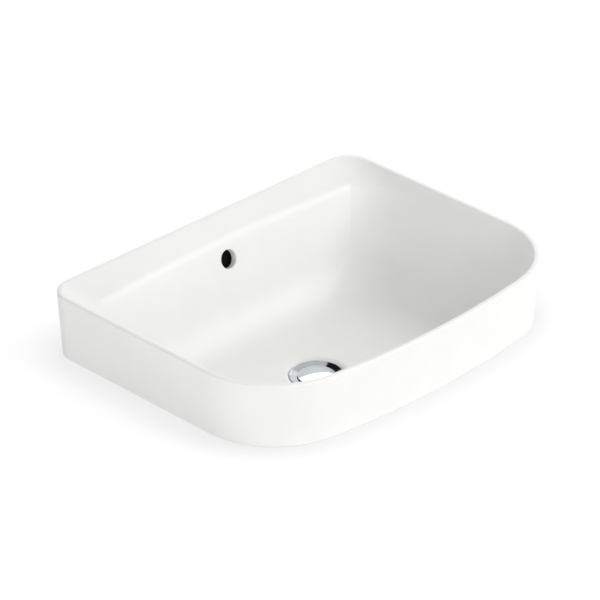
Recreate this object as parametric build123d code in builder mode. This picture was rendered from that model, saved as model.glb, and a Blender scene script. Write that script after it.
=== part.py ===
from build123d import *
import os
from math import atan2, cos, degrees, radians, sin, sqrt, tan

# Countertop basin: a vitreous china bowl that drops through a cut-out and bears on its skirt,
# with a push-button slotted waste.
# Millimetres, +Z up, front towards -Y. The origin is on the ground bearing face at the middle of the back.

# Outline and skirt
basin_width = 520.0
basin_depth = 400.0
skirt_height = 85.0
skirt_draft = 3.3
back_corner_radius = 35.0
front_corner_radius = 0.2875 * basin_depth
front_bow = 0.1125
bearing_land = 10.0
land_chamfer = 0.8

# Rim and upper band of the bowl
rim_width = 6.6
rim_round = 3.0
ridge_depth = 18.0
ridge_side_inset = 16.5
ridge_back_inset = 39.5
shell_top_depth = 10.0
shell_top_inset = 2.0
shell_ridge_lift = 2.0

# Bowl walls and floor
wall_thickness = 9.0
back_wall_angle = 19.0
side_wall_angle = 18.0
front_wall_angle = 20.0
floor_depth = 140.5
back_floor_angle = 6.0
side_floor_angle = 4.0
front_floor_angle = 5.0
floor_blend = 0.1875 * basin_depth
back_bow = 0.055
bowl_back_corner = 0.145 * basin_depth
bowl_crease = 10.0
crease_angle = 62.0
bowl_front_corner = 0.245 * basin_depth
corner_fade_depth = 92.0
crease_fade = 1.5
floor_roundness = 0.85
level_step = 9

# Drain place and ceramic seat
drain_inset = 0.5 * basin_depth
dish_radius = 39.0
seat_clearance = 1.0
seat_taper = 0.6
boss_radius = 44.0
boss_drop = 27.0
waste_hole_radius = 22.5
cut_overlap = 1.0

# Overflow hole and duct
overflow_depth = 41.2
overflow_hole_radius = 12.0
overflow_edge = 1.2
duct_half_width = 20.0
duct_gap = 12.0
duct_wall = 6.5
duct_top_depth = 27.0
duct_embed = 3.0
duct_mouth_reach = 4.0

# Waste flange and threaded tube
flange_depth = 142.0
flange_radius = 34.0
flange_thickness = 2.0
flange_lip = 1.0
dish_angle = 18.0
tube_radius = 20.95
thread_pitch_radius = 20.216
thread_run_on = 1.0
tube_bore_radius = 18.5
tube_length = 88.0
slot_top = 11.0
slot_height = 10.0
slot_width = 20.0
slot_end_flat = 0.5
gasket_thickness = 1.0
gasket_inset = 0.8
seal_radius = 33.0
seal_thickness = 5.0
seal_spigot = 1.6
seal_spigot_gap = 0.2
washer_radius = 31.0
washer_thickness = 1.5
nut_across_flats = 52.0
nut_thickness = 8.0
nut_chamfer_reach = 4.8
nut_chamfer_height = 2.4
thread_clearance = 0.05

# Bridge that carries the cartridge
bridge_drop = 52.0
bridge_height = 6.0
bridge_boss_radius = 7.5
spoke_width = 4.0
spoke_embed = 1.0
spoke_count = 3

# Plug and its stem
plug_radius = 23.6
plug_edge = 0.45
plug_dome = 1.9
plug_seat_gap = 1.0
plug_neck_radius = 17.6
plug_neck_length = 6.0
plug_neck_wall = 4.0
o_ring_section = 2.6
o_ring_clearance = 0.3
groove_clearance = 0.1
stem_radius = 3.0
plug_boss_radius = 6.0
plug_boss_drop = 14.0
stem_thread_length = 6.5
lock_nut_flats = 10.0
lock_nut_height = 3.0

# Click cartridge
travel_up = 9.0
travel_down = 0.8
running_clearance = 0.05
top_ring_drop = 19.0
top_ring_flange = 1.0
top_ring_spigot = 4.0
housing_radius = 7.5
housing_bore_radius = 6.2
housing_floor = 2.0
spigot_radius = 4.95
piston_radius = 4.0
piston_length = 8.0
piston_stop_gap = 0.2
sleeve_clearance = 0.1
sleeve_length = 17.5
sleeve_end_gap = 0.5
pin_radius = 0.9
pin_reach = 5.6
pin_drop = 4.0
index_turn = 45.0
window_margin = 1.5
spring_wire = 0.8
spring_radius = 3.9

# Derived places
draft_inset = skirt_height * tan(radians(skirt_draft))
back_face = bearing_land / 2 + draft_inset
front_face = back_face - basin_depth
half_width = basin_width / 2
drain_y = back_face - drain_inset
drain_to_front = basin_depth - drain_inset
lip_z = skirt_height - flange_depth
dish_slope = tan(radians(dish_angle))
lip_top_radius = flange_radius - flange_lip
hole_bottom_z = lip_z - boss_drop


def outline(z, side, back, front, back_corner, crease, front_corner, bow_back, bow_front):
    """Closed plan outline at height z. The back corner turns on its radius, then on its crease's."""
    front_arc = side / (2 * bow_front)
    front_centre = front + front_arc
    front_corner_x = side - front_corner
    front_corner_y = front_centre - sqrt((front_arc - front_corner) ** 2 - front_corner_x**2)
    front_angle = atan2(front_centre - front_corner_y, front_corner_x)
    front_tangent_x = front_arc * cos(front_angle)
    front_tangent_y = front_centre - front_arc * sin(front_angle)
    back_corner_x = side - back_corner
    crease_x = back_corner_x + (back_corner - crease) * cos(radians(crease_angle))
    if bow_back:
        back_arc = side / (2 * bow_back)
        back_centre = back - back_arc
        crease_y = back_centre + sqrt((back_arc - crease) ** 2 - crease_x**2)
        back_angle = degrees(atan2(crease_y - back_centre, crease_x))
    else:
        crease_y = back - crease
        back_angle = 90
    back_corner_y = crease_y - (back_corner - crease) * sin(radians(crease_angle))
    back_tangent_x = crease_x + crease * cos(radians(back_angle))
    back_tangent_y = crease_y + crease * sin(radians(back_angle))
    front_sweep = degrees(front_angle)
    crease_sweep = back_angle - crease_angle
    with BuildSketch(Plane.XY.offset(z)) as section:
        with BuildLine():
            Line((side, front_corner_y), (side, back_corner_y))
            CenterArc((back_corner_x, back_corner_y), back_corner, 0, crease_angle)
            CenterArc((crease_x, crease_y), crease, crease_angle, crease_sweep)
            if bow_back:
                back_end = (-back_tangent_x, back_tangent_y)
                ThreePointArc((back_tangent_x, back_tangent_y), (0, back), back_end)
            else:
                Line((back_tangent_x, back_tangent_y), (-back_tangent_x, back_tangent_y))
            CenterArc((-crease_x, crease_y), crease, 180 - back_angle, crease_sweep)
            CenterArc((-back_corner_x, back_corner_y), back_corner, 180 - crease_angle, crease_angle)
            Line((-side, back_corner_y), (-side, front_corner_y))
            CenterArc((-front_corner_x, front_corner_y), front_corner, 180, front_sweep)
            front_end = (front_tangent_x, front_tangent_y)
            ThreePointArc((-front_tangent_x, front_tangent_y), (0, front), front_end)
            CenterArc((front_corner_x, front_corner_y), front_corner, -front_sweep, front_sweep)
        make_face()
    return section.sketch


def rim_outline(depth, inset):
    """The outer outline of the rim, drawn in by inset at a depth below the rim."""
    return outline(
        skirt_height - depth,
        half_width - inset,
        back_face - inset,
        front_face + inset,
        back_corner_radius - inset,
        back_corner_radius - inset,
        front_corner_radius - inset,
        0,
        front_bow,
    )


def reach(depth, ridge_reach, wall_angle, floor_angle, shell):
    """Distance from the drain axis to the bowl's surface: wall, blend arc, then floor."""
    wall = radians(wall_angle)
    floor = radians(floor_angle)
    blend = floor_blend + shell
    wall_offset = ridge_reach * cos(wall) + ridge_depth * sin(wall) + shell
    floor_offset = dish_radius * sin(floor) + floor_depth * cos(floor) + shell
    wall_side = wall_offset - blend
    floor_side = floor_offset - blend
    turn = cos(wall) * cos(floor) - sin(wall) * sin(floor)
    centre_reach = (wall_side * cos(floor) - floor_side * sin(wall)) / turn
    centre_depth = (floor_side * cos(wall) - wall_side * sin(floor)) / turn
    if depth <= centre_depth + blend * sin(wall):
        return (wall_offset - depth * sin(wall)) / cos(wall)
    if depth >= centre_depth + blend * cos(floor):
        return (floor_offset - depth * cos(floor)) / sin(floor)
    return centre_reach + sqrt(blend**2 - (depth - centre_depth) ** 2)


def bowl_outline(depth, shell):
    """The bowl's outline at a depth below the rim, inside (shell 0) or outside (shell thickness)."""
    side = reach(depth, half_width - ridge_side_inset, side_wall_angle, side_floor_angle, shell)
    back = reach(depth, drain_inset - ridge_back_inset, back_wall_angle, back_floor_angle, shell)
    front = reach(depth, drain_to_front - ridge_side_inset, front_wall_angle, front_floor_angle, shell)
    fade = max(0.0, (depth - corner_fade_depth) / (floor_depth + shell - corner_fade_depth))
    round_corner = floor_roundness * min(side, back, front)
    front_corner = min(bowl_front_corner + shell, round_corner)
    back_corner = bowl_back_corner + shell + (round_corner - bowl_back_corner - shell) * fade
    crease = bowl_crease + shell + (round_corner - bowl_crease - shell) * fade**crease_fade
    return outline(
        skirt_height - depth,
        side,
        drain_y + back,
        drain_y - front,
        back_corner,
        crease,
        front_corner,
        back_bow,
        front_bow,
    )


def disc_section(z, radius):
    """A round section about the drain axis."""
    with BuildSketch(Plane(origin=(0, drain_y, z))) as section:
        Circle(radius)
    return section.sketch


def turned(points):
    """A face in the plane of the drain axis, from radius and drop below the flange lip."""
    with BuildSketch(Plane(origin=(0, drain_y, lip_z), x_dir=(1, 0, 0), z_dir=(0, -1, 0))) as profile:
        with BuildLine():
            Polyline(*[(radius, -drop) for radius, drop in points], close=True)
        make_face()
    return profile.sketch


drain_axis = Axis((0, drain_y, 0), (0, 0, 1))
os.makedirs("parts", exist_ok=True)
bowl_levels = [
    ridge_depth + (floor_depth - ridge_depth) * sin(radians(step)) for step in range(0, 91, level_step)
]
shell_ridge_depth = ridge_depth + wall_thickness * cos(radians(side_wall_angle)) - shell_ridge_lift
shell_floor_depth = floor_depth + wall_thickness
shell_levels = [
    shell_ridge_depth + (shell_floor_depth - shell_ridge_depth) * sin(radians(step))
    for step in range(0, 91, level_step)
]


def dish_drop_at(radius):
    """Drop of the flange's dished face below its lip."""
    return (lip_top_radius - radius) * dish_slope


def wall_point(offset, depth):
    """A point behind the bowl's back wall, offset out from its outer face, as seen from the side."""
    wall = radians(back_wall_angle)
    ridge = drain_y + drain_inset - ridge_back_inset
    y = ridge - (depth - ridge_depth) * tan(wall) + (wall_thickness + offset) / cos(wall)
    return (y, skirt_height - depth)


def floor_point(offset, y):
    """A point under the bowl's floor, offset down from its outer face, as seen from the side."""
    floor = radians(back_floor_angle)
    depth = floor_depth - (y - drain_y - dish_radius) * tan(floor) + (wall_thickness + offset) / cos(floor)
    return (y, skirt_height - depth)


def duct_corner(offset):
    """Where the duct's wall run and floor run meet, at an offset from the bowl's outer face."""
    wall = tan(radians(back_wall_angle))
    floor = tan(radians(back_floor_angle))
    wall_y, wall_z = wall_point(offset, floor_depth)
    floor_y, floor_z = floor_point(offset, wall_y)
    shift = (floor_z - wall_z) / (1 / wall - floor)
    return (wall_y + shift, wall_z + shift / wall)


def duct_profile(inner, outer, top_depth, end_y):
    """The duct's side view between two offsets from the bowl, down the back wall and under the floor."""
    with BuildSketch(Plane.YZ) as profile:
        with BuildLine():
            Polyline(
                wall_point(inner, top_depth),
                wall_point(outer, top_depth),
                duct_corner(outer),
                floor_point(outer, end_y),
                floor_point(inner, end_y),
                duct_corner(inner),
                close=True,
            )
        make_face()
        for offset in (inner, outer):
            corner = profile.vertices().sort_by_distance(duct_corner(offset))[0]
            fillet(corner, floor_blend + wall_thickness + offset)
    return profile.sketch


# Basin body places
seat_drop = flange_thickness + gasket_thickness
dish_edge_drop = floor_depth - flange_depth
seat_outer_radius = flange_radius + seat_clearance
seat_points = [
    (0, dish_edge_drop - cut_overlap),
    (dish_radius, dish_edge_drop - cut_overlap),
    (dish_radius, dish_edge_drop),
    (seat_outer_radius + seat_taper, flange_lip),
    (seat_outer_radius, dish_drop_at(seat_outer_radius) + seat_drop),
    (waste_hole_radius, dish_drop_at(waste_hole_radius) + seat_drop),
    (waste_hole_radius, boss_drop + cut_overlap),
    (0, boss_drop + cut_overlap),
]
overflow_y = wall_point(-wall_thickness, overflow_depth)[0]
overflow_plane = Plane(
    origin=(0, overflow_y, skirt_height - overflow_depth),
    x_dir=(1, 0, 0),
    z_dir=(0, -cos(radians(back_wall_angle)), sin(radians(back_wall_angle))),
)

# Basin body: skirt, bowl, waste boss and overflow duct in one fired piece
duct_end_y = drain_y + waste_hole_radius - duct_mouth_reach
duct_outside_end = drain_y + boss_radius - duct_embed
ease_depth = skirt_height - land_chamfer
ease_inset = ease_depth * tan(radians(skirt_draft))
with BuildPart() as basin_body:
    # Drafted skirt block with a pocket underneath, which leaves the skirt wall and its eased foot
    add(rim_outline(0, 0))
    add(rim_outline(ease_depth, ease_inset))
    loft()
    add(rim_outline(ease_depth, ease_inset))
    add(rim_outline(skirt_height, draft_inset + land_chamfer))
    loft()
    add(rim_outline(shell_top_depth, bearing_land))
    add(rim_outline(ease_depth, ease_inset + bearing_land))
    loft(mode=Mode.SUBTRACT)
    add(rim_outline(ease_depth, ease_inset + bearing_land))
    add(rim_outline(skirt_height, draft_inset + bearing_land - land_chamfer))
    loft(mode=Mode.SUBTRACT)
    # Outside of the upper band and of the bowl
    add(rim_outline(shell_top_depth, shell_top_inset))
    add(bowl_outline(shell_ridge_depth, wall_thickness))
    loft()
    for level in shell_levels:
        add(bowl_outline(level, wall_thickness))
    loft()
    # Boss round the waste hole
    add(disc_section(hole_bottom_z, boss_radius))
    extrude(amount=boss_drop)
    # Outside of the overflow duct
    duct_outside_top = duct_top_depth - duct_wall
    duct_outside = duct_profile(-duct_embed, duct_gap + duct_wall, duct_outside_top, duct_outside_end)
    extrude(duct_outside, amount=duct_half_width + duct_wall, both=True)
    # Inside of the bowl
    add(rim_outline(0, rim_width))
    add(bowl_outline(ridge_depth, 0))
    loft(mode=Mode.SUBTRACT)
    for level in bowl_levels:
        add(bowl_outline(level, 0))
    loft(mode=Mode.SUBTRACT)
    # Dished seat for the waste and the hole through the boss
    revolve(turned(seat_points), axis=drain_axis, mode=Mode.SUBTRACT)
    # Inside of the overflow duct, its mouth into the waste hole, and the overflow hole
    duct_inside = duct_profile(0, duct_gap, duct_top_depth, duct_end_y)
    extrude(duct_inside, amount=duct_half_width, both=True, mode=Mode.SUBTRACT)
    with BuildSketch(overflow_plane):
        Circle(overflow_hole_radius)
    extrude(amount=wall_thickness + duct_gap / 2, both=True, mode=Mode.SUBTRACT)
    # Rounded edge of the overflow hole
    hole_edge = basin_body.edges().filter_by(GeomType.BSPLINE).sort_by_distance(overflow_plane.origin)[0]
    fillet(hole_edge, overflow_edge)
    # Full round on the rim
    fillet(basin_body.edges().group_by(Axis.Z)[-1], rim_round)
basin_body.part.label = "basin_body"
export_step(basin_body.part, "parts/basin_body.step")

# Stack under the boss: seal, washer and nut, by their drop below the lip
seal_bottom = boss_drop + seal_thickness
washer_bottom = seal_bottom + washer_thickness
nut_bottom = washer_bottom + nut_thickness
tail_top = nut_bottom + thread_run_on

# Waste body: dished flange, threaded tube with overflow slots, and the bridge inside.
# The thread is a cylinder at its major diameter, and at its pitch diameter where the nut is on it.
flange_under = [
    (flange_radius, dish_drop_at(flange_radius) + flange_thickness),
    (tube_radius, dish_drop_at(tube_radius) + flange_thickness),
]
bridge_plane = Plane(origin=(0, drain_y, lip_z - bridge_drop - bridge_height))
slot_middle = slot_top + slot_height / 2
with BuildPart() as waste_body:
    waste_profile = turned(
        [
            (tube_bore_radius, dish_drop_at(tube_bore_radius)),
            (lip_top_radius, 0),
            (flange_radius, flange_lip),
            *flange_under,
            (tube_radius, washer_bottom),
            (thread_pitch_radius, washer_bottom),
            (thread_pitch_radius, tail_top),
            (tube_radius, tail_top),
            (tube_radius, tube_length),
            (tube_bore_radius, tube_length),
        ]
    )
    revolve(waste_profile, axis=drain_axis)
    # Two slots that let the overflow's water in
    with BuildSketch(Plane(origin=(0, drain_y, lip_z - slot_middle), x_dir=(1, 0, 0), z_dir=(0, -1, 0))):
        RectangleRounded(slot_width, slot_height, slot_height / 2 - slot_end_flat)
    extrude(amount=flange_radius, both=True, mode=Mode.SUBTRACT)
    # Spokes and the threaded boss that the cartridge screws into
    spoke_length = tube_bore_radius + spoke_embed
    with BuildSketch(bridge_plane):
        Circle(bridge_boss_radius)
        for spoke in range(spoke_count):
            with Locations(Rotation(0, 0, 90 + 360 / spoke_count * spoke)):
                with Locations((spoke_length / 2, 0)):
                    Rectangle(spoke_length, spoke_width)
        Circle(spigot_radius, mode=Mode.SUBTRACT)
    extrude(amount=bridge_height)
waste_body.part.label = "waste_body"
export_step(waste_body.part, "parts/waste_body.step")

# Flange gasket: thin dished ring between the flange and its seat
gasket_outer = flange_radius - gasket_inset
gasket_inner = waste_hole_radius + gasket_inset
with BuildPart() as flange_gasket:
    gasket_profile = turned(
        [
            (gasket_inner, dish_drop_at(gasket_inner) + flange_thickness),
            (gasket_outer, dish_drop_at(gasket_outer) + flange_thickness),
            (gasket_outer, dish_drop_at(gasket_outer) + seat_drop),
            (gasket_inner, dish_drop_at(gasket_inner) + seat_drop),
        ]
    )
    revolve(gasket_profile, axis=drain_axis)
flange_gasket.part.label = "flange_gasket"
export_step(flange_gasket.part, "parts/flange_gasket.step")

# Waste seal: rubber washer under the boss, with a spigot that centres it in the hole
seal_bore = tube_radius + thread_clearance
with BuildPart() as waste_seal:
    seal_profile = turned(
        [
            (seal_bore, boss_drop - seal_spigot),
            (waste_hole_radius - seal_spigot_gap, boss_drop - seal_spigot / 2),
            (waste_hole_radius - seal_spigot_gap, boss_drop),
            (seal_radius, boss_drop),
            (seal_radius, seal_bottom),
            (seal_bore, seal_bottom),
        ]
    )
    revolve(seal_profile, axis=drain_axis)
waste_seal.part.label = "waste_seal"
export_step(waste_seal.part, "parts/waste_seal.step")

# Slip washer: lets the nut turn without dragging the rubber
with BuildPart() as slip_washer:
    with BuildSketch(Plane(origin=(0, drain_y, lip_z - washer_bottom))):
        Circle(washer_radius)
        Circle(seal_bore, mode=Mode.SUBTRACT)
    extrude(amount=washer_thickness)
slip_washer.part.label = "slip_washer"
export_step(slip_washer.part, "parts/slip_washer.step")

# Back nut: clamps the waste to the boss from below
nut_turned_radius = nut_across_flats / 2 + nut_chamfer_reach
with BuildPart() as back_nut:
    with BuildSketch(Plane(origin=(0, drain_y, lip_z - nut_bottom))):
        RegularPolygon(nut_across_flats / 2, 6, major_radius=False)
    extrude(amount=nut_thickness)
    nut_turning = turned(
        [
            (0, nut_bottom),
            (nut_across_flats / 2, nut_bottom),
            (nut_turned_radius, nut_bottom - nut_chamfer_height),
            (nut_turned_radius, washer_bottom),
            (0, washer_bottom),
        ]
    )
    revolve(nut_turning, axis=drain_axis, mode=Mode.INTERSECT)
    with BuildSketch(Plane(origin=(0, drain_y, lip_z - nut_bottom))):
        Circle(thread_pitch_radius + thread_clearance)
    extrude(amount=nut_thickness, mode=Mode.SUBTRACT)
back_nut.part.label = "back_nut"
export_step(back_nut.part, "parts/back_nut.step")

# Plug cap: shallow dome over a conical underside, with a grooved neck and a threaded boss
plug_edge_drop = dish_drop_at(plug_radius) - plug_seat_gap
plug_top_edge_drop = plug_edge_drop - plug_edge
plug_top_drop = plug_top_edge_drop - plug_dome
neck_drop = dish_drop_at(plug_neck_radius) - plug_seat_gap
neck_bottom_drop = neck_drop + plug_neck_length
o_ring_centre_radius = tube_bore_radius - o_ring_clearance - o_ring_section / 2
o_ring_drop = neck_drop + plug_neck_length / 2
groove_depth_radius = o_ring_centre_radius - o_ring_section / 2
groove_half_height = o_ring_section / 2 + groove_clearance
with BuildPart() as plug_cap:
    with BuildSketch(Plane(origin=(0, drain_y, lip_z), x_dir=(1, 0, 0), z_dir=(0, -1, 0))):
        with BuildLine():
            dome_arc_radius = (plug_radius**2 + plug_dome**2) / (2 * plug_dome)
            dome_middle = plug_radius / 2
            dome_sag = dome_arc_radius - sqrt(dome_arc_radius**2 - dome_middle**2)
            ThreePointArc(
                (0, -plug_top_drop),
                (dome_middle, -plug_top_drop - dome_sag),
                (plug_radius, -plug_top_edge_drop),
            )
            Polyline(
                (plug_radius, -plug_top_edge_drop),
                (plug_radius, -plug_edge_drop),
                (plug_neck_radius, -neck_drop),
                (plug_neck_radius, -o_ring_drop + groove_half_height),
                (groove_depth_radius, -o_ring_drop + groove_half_height),
                (groove_depth_radius, -o_ring_drop - groove_half_height),
                (plug_neck_radius, -o_ring_drop - groove_half_height),
                (plug_neck_radius, -neck_bottom_drop),
                (plug_neck_radius - plug_neck_wall, -neck_bottom_drop),
                (plug_neck_radius - plug_neck_wall, -neck_drop),
                (plug_boss_radius, -neck_drop),
                (plug_boss_radius, -plug_boss_drop),
                (stem_radius, -plug_boss_drop),
                (stem_radius, -plug_boss_drop + stem_thread_length),
                (0, -plug_boss_drop + stem_thread_length),
                (0, -plug_top_drop),
            )
        make_face()
    revolve(axis=drain_axis)
plug_cap.part.label = "plug_cap"
export_step(plug_cap.part, "parts/plug_cap.step")

# Plug seal: O-ring in the neck's groove
with BuildPart() as plug_seal:
    with BuildSketch(Plane(origin=(0, drain_y, lip_z), x_dir=(1, 0, 0), z_dir=(0, -1, 0))):
        with Locations((o_ring_centre_radius, -o_ring_drop)):
            Circle(o_ring_section / 2)
    revolve(axis=drain_axis)
plug_seal.part.label = "plug_seal"
export_step(plug_seal.part, "parts/plug_seal.step")

# Stem: threaded at the top, with the piston that the spring pushes on
piston_top = top_ring_drop + top_ring_flange + top_ring_spigot + travel_up + piston_stop_gap
piston_bottom = piston_top + piston_length
pin_place = piston_top + pin_drop
with BuildPart() as plug_stem:
    stem_profile = turned(
        [
            (0, plug_boss_drop - stem_thread_length),
            (stem_radius, plug_boss_drop - stem_thread_length),
            (stem_radius, piston_top),
            (piston_radius, piston_top),
            (piston_radius, piston_bottom),
            (0, piston_bottom),
        ]
    )
    revolve(stem_profile, axis=drain_axis)
    with BuildSketch(Plane(origin=(0, drain_y, lip_z - pin_place), x_dir=(0, 1, 0), z_dir=(1, 0, 0))):
        Circle(pin_radius)
    extrude(amount=pin_reach, both=True, mode=Mode.SUBTRACT)
plug_stem.part.label = "plug_stem"
export_step(plug_stem.part, "parts/plug_stem.step")

# Guide pin: pressed across the piston, both ends in the indexing sleeve's windows
with BuildPart() as guide_pin:
    with BuildSketch(Plane(origin=(0, drain_y, lip_z - pin_place), x_dir=(0, 1, 0), z_dir=(1, 0, 0))):
        Circle(pin_radius)
    extrude(amount=pin_reach, both=True)
guide_pin.part.label = "guide_pin"
export_step(guide_pin.part, "parts/guide_pin.step")

# Lock nut: holds the plug cap at its height on the stem
with BuildPart() as stem_lock_nut:
    with BuildSketch(Plane(origin=(0, drain_y, lip_z - plug_boss_drop - lock_nut_height))):
        RegularPolygon(lock_nut_flats / 2, 6, major_radius=False)
        Circle(stem_radius, mode=Mode.SUBTRACT)
    extrude(amount=lock_nut_height)
stem_lock_nut.part.label = "stem_lock_nut"
export_step(stem_lock_nut.part, "parts/stem_lock_nut.step")

# Cartridge housing: tube on the bridge, with a spigot screwed through it
housing_top = top_ring_drop + top_ring_flange
with BuildPart() as cartridge_housing:
    housing_profile = turned(
        [
            (housing_bore_radius, housing_top),
            (housing_radius, housing_top),
            (housing_radius, bridge_drop),
            (spigot_radius, bridge_drop),
            (spigot_radius, bridge_drop + bridge_height),
            (0, bridge_drop + bridge_height),
            (0, bridge_drop - housing_floor),
            (housing_bore_radius, bridge_drop - housing_floor),
        ]
    )
    revolve(housing_profile, axis=drain_axis)
cartridge_housing.part.label = "cartridge_housing"
export_step(cartridge_housing.part, "parts/cartridge_housing.step")

# Cartridge top ring: screwed into the housing, guides the stem and stops the piston
with BuildPart() as cartridge_top_ring:
    top_ring_profile = turned(
        [
            (stem_radius + running_clearance, top_ring_drop),
            (housing_radius, top_ring_drop),
            (housing_radius, housing_top),
            (housing_bore_radius, housing_top),
            (housing_bore_radius, housing_top + top_ring_spigot),
            (stem_radius + running_clearance, housing_top + top_ring_spigot),
        ]
    )
    revolve(top_ring_profile, axis=drain_axis)
cartridge_top_ring.part.label = "cartridge_top_ring"
export_step(cartridge_top_ring.part, "parts/cartridge_top_ring.step")

# Indexing sleeve: turns inside the housing as the pin rides its two windows
sleeve_top = housing_top + top_ring_spigot + sleeve_end_gap
sleeve_outer = housing_bore_radius - sleeve_clearance
sleeve_inner = piston_radius + sleeve_clearance
window_top = pin_place - travel_up - pin_radius - window_margin / 2
window_bottom = pin_place + travel_down + pin_radius + window_margin / 2
pin_half_angle = degrees(atan2(pin_radius, sqrt(sleeve_inner**2 - pin_radius**2)))
press_turn = index_turn * travel_down / travel_up
window_start = -index_turn - pin_half_angle - window_margin
window_sweep = index_turn + press_turn + 2 * (pin_half_angle + window_margin)
with BuildPart() as indexing_sleeve:
    with BuildSketch(Plane(origin=(0, drain_y, lip_z - sleeve_top - sleeve_length))):
        Circle(sleeve_outer)
        Circle(sleeve_inner, mode=Mode.SUBTRACT)
    extrude(amount=sleeve_length)
    with BuildSketch(Plane(origin=(0, drain_y, lip_z - window_bottom))):
        for side in (0, 180):
            with BuildLine():
                sector_start = side + window_start
                arc = CenterArc((0, 0), housing_radius, sector_start, window_sweep)
                Line((0, 0), arc @ 0)
                Line(arc @ 1, (0, 0))
            make_face()
    extrude(amount=window_bottom - window_top, mode=Mode.SUBTRACT)
indexing_sleeve.part.label = "indexing_sleeve"
export_step(indexing_sleeve.part, "parts/indexing_sleeve.step")

# Return spring: the space its coils fill, between the housing floor and the piston
with BuildPart() as return_spring:
    with BuildSketch(Plane(origin=(0, drain_y, lip_z - bridge_drop + housing_floor))):
        Circle(spring_radius)
        Circle(spring_radius - spring_wire, mode=Mode.SUBTRACT)
    extrude(amount=bridge_drop - housing_floor - piston_bottom)
return_spring.part.label = "return_spring"
export_step(return_spring.part, "parts/return_spring.step")
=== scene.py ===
from bisect import bisect_right
from math import atan2, cos, degrees, pi, radians, sin, sqrt, tan

import bmesh
import bpy
from mathutils import Matrix, Vector


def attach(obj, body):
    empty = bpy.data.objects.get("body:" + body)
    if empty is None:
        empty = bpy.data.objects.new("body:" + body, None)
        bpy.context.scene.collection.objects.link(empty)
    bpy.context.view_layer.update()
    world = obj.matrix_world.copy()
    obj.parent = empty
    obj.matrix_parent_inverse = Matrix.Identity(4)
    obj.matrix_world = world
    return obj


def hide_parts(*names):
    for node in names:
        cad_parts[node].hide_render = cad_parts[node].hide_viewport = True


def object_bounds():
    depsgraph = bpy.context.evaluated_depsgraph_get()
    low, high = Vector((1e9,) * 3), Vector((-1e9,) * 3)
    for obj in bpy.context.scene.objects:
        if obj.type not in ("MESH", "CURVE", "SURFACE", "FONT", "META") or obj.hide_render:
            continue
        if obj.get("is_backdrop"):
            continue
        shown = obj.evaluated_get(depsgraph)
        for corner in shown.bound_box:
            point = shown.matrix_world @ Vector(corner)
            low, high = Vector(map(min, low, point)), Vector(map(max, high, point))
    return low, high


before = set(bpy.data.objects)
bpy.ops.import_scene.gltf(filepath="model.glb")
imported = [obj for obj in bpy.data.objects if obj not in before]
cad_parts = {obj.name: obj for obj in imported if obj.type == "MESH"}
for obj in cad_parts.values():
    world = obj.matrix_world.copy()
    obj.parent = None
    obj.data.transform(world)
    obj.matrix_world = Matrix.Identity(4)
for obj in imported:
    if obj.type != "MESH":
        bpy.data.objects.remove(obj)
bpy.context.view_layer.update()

# Lengths are in millimetres and become metres in each mesh
MM = 0.001

# Ceramic outline and skirt
HALF_WIDTH = 260.0
BASIN_DEPTH = 400.0
SKIRT_HEIGHT = 85.0
BEARING_LAND = 10.0
DRAFT_SLOPE = tan(radians(3.3))
DRAFT_INSET = SKIRT_HEIGHT * DRAFT_SLOPE
BACK_FACE = BEARING_LAND / 2 + DRAFT_INSET
FRONT_FACE = BACK_FACE - BASIN_DEPTH
BACK_CORNER = 35.0
FRONT_CORNER = 115.0
FRONT_BOW = 0.1125
LAND_CHAMFER = 0.8

# Rim, upper band and bowl
RIM_WIDTH = 6.6
RIM_OUTER_ROUND = 2.8
RIM_INNER_ROUND = 1.6
RIDGE_DEPTH = 18.0
RIDGE_SIDE_INSET = 16.5
RIDGE_BACK_INSET = 39.5
RIDGE_ROUND = 8.0
WALL = 9.0
BACK_WALL_ANGLE = 19.0
SIDE_WALL_ANGLE = 18.0
FRONT_WALL_ANGLE = 20.0
FLOOR_DEPTH = 140.5
BACK_FLOOR_ANGLE = 6.0
SIDE_FLOOR_ANGLE = 4.0
FRONT_FLOOR_ANGLE = 5.0
FLOOR_BLEND = 75.0
BACK_BOW = 0.055
BOWL_BACK_CORNER = 58.0
BOWL_CREASE = 10.0
CREASE_ANGLE = 62.0
BOWL_FRONT_CORNER = 98.0
CORNER_FADE_DEPTH = 92.0
CREASE_FADE = 1.5
FLOOR_ROUNDNESS = 0.85

# Towards the drain the bowl's columns even out, and then its rings become circles
EVENING_DEPTH = 98.0
EVENING_SPAN = 36.0
ROUNDING_DEPTH = 136.5

# Underside of the bowl: it follows the bowl, and near the top it fades out to the rim
SHELL_TOP_DEPTH = 24.6
SHELL_FADE_DEPTH = 10.0
SHELL_FADE_SPAN = 14.6
SHELL_RIM_INSET = 2.0
SHELL_ANGLES_DEPTH = 40.0
SHELL_EVENING_DEPTH = 105.0
SHELL_EVENING_SPAN = 38.0
SHELL_FLOOR_TRIM = 0.6
SHELL_BOSS_GAP = 2.0
CROSSING_RANGE = (12.0, 70.0)
CROSSING_STEPS = 18

# Drain, overflow and duct
DRAIN_INSET = 200.0
DRAIN_Y = BACK_FACE - DRAIN_INSET
LIP_Z = SKIRT_HEIGHT - 142.0
DISH_RADIUS = 39.0
WASTE_HOLE_RADIUS = 22.5
BOSS_RADIUS = 44.0
BOSS_DROP = 27.0
OVERFLOW_DEPTH = 41.2
OVERFLOW_RADIUS = 12.0
OVERFLOW_EDGE = 1.6
DUCT_HALF_WIDTH = 20.0
DUCT_GAP = 12.0
DUCT_WALL = 6.5
DUCT_TOP_DEPTH = 27.0
DUCT_EMBED = 3.0
DUCT_MOUTH_REACH = 4.0
DUCT_BLEND_STEPS = 24

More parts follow.
